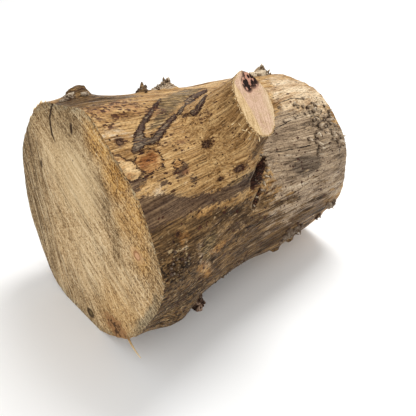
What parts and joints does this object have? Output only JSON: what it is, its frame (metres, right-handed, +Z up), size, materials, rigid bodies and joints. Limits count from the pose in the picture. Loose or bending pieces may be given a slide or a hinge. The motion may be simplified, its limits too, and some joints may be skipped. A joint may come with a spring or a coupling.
{
  "type": "short debarked pine log with a sawn limb stub",
  "caption": "Short piece of debarked pine trunk, sawn at both ends, flaring at the butt, with a sawn-off limb stub, knots and small bud nubs.",
  "frame": {"origin": "centre of the bounding box at its base, on the ground", "axes": "+X along the log from the wide butt cut towards the smaller top end, +Y to the back, +Z up; the limb stub leans to -Y"},
  "size_m": [0.324, 0.2554, 0.2662],
  "materials": {
    "pine_wood": "bare weathered wood, dry and matt"
  },
  "bodies": {
    "root": {"log": "pine_wood"}
  },
  "joints": []
}
